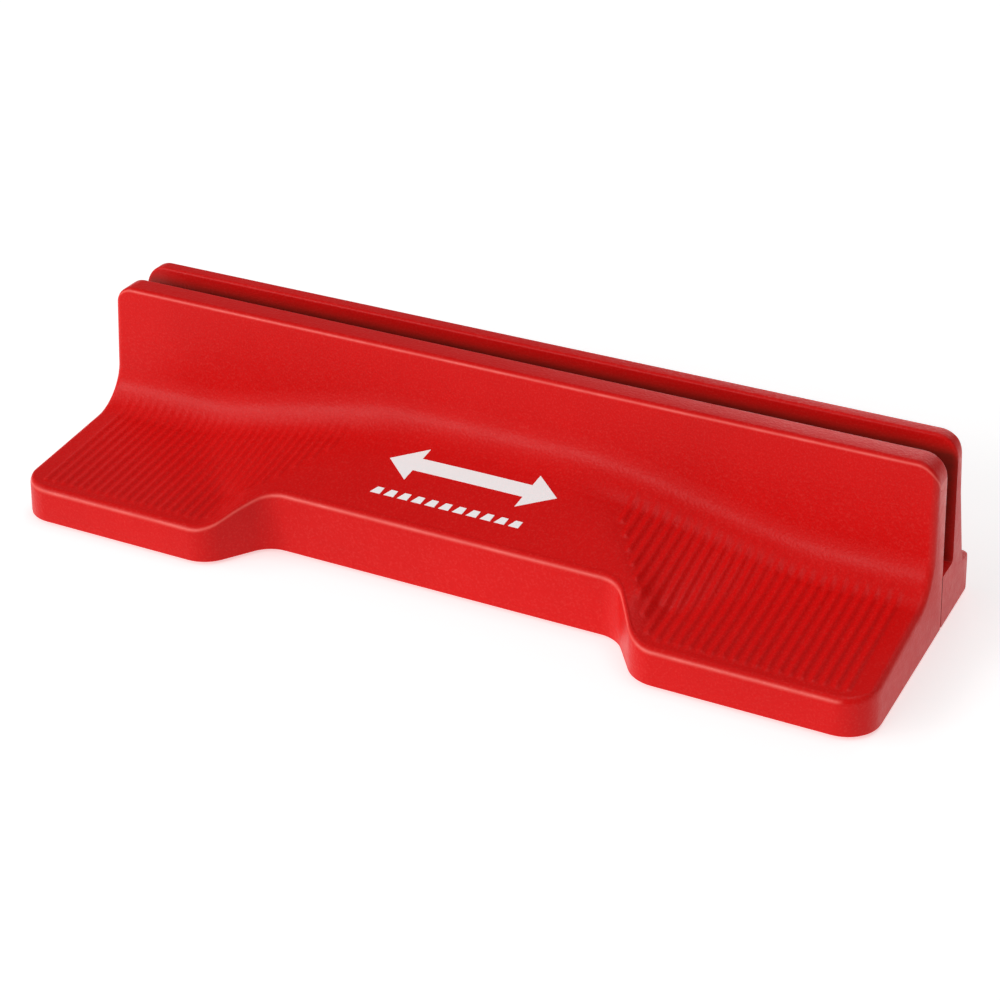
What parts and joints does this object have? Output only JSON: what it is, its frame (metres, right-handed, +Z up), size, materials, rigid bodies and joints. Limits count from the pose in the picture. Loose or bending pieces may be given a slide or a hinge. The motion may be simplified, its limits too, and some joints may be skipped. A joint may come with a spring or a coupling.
{
  "type": "edge tuning tool",
  "caption": "Bench guide that squares the edge of a ski wax scraper: a moulded bar with a long open slot over a hidden file, broad ribbed hand rests and a raised middle block.",
  "frame": {"origin": "centre of the bounding box in X and Y, at the underside of the foot pads", "axes": "+X along the bar, +Y from the hand rests towards the rear jaw, +Z up out of the slot"},
  "size_m": [0.15, 0.0496, 0.031],
  "materials": {
    "moulded_red": "fine spark texture, satin",
    "black_plastic": "fine texture",
    "file_steel": "single-cut teeth",
    "bright_steel": "zinc plated",
    "brass": "turned",
    "pad_rubber": "moulded matt"
  },
  "bodies": {
    "root": {"front_body": "moulded_red", "rear_jaw": "moulded_red", "file_blade": "file_steel", "base_plate": "black_plastic", "jaw_screw_1": "bright_steel", "jaw_screw_2": "bright_steel", "jaw_screw_3": "bright_steel", "jaw_screw_4": "bright_steel", "threaded_insert_1": "brass", "threaded_insert_2": "brass", "threaded_insert_3": "brass", "threaded_insert_4": "brass", "dowel_left": "bright_steel", "dowel_right": "bright_steel", "plate_screw_1": "bright_steel", "plate_screw_2": "bright_steel", "plate_screw_3": "bright_steel", "plate_screw_4": "bright_steel", "plate_screw_5": "bright_steel", "foot_pad_front_left": "pad_rubber", "foot_pad_front_right": "pad_rubber", "foot_pad_rear_left": "pad_rubber", "foot_pad_rear_right": "pad_rubber"}
  },
  "joints": []
}
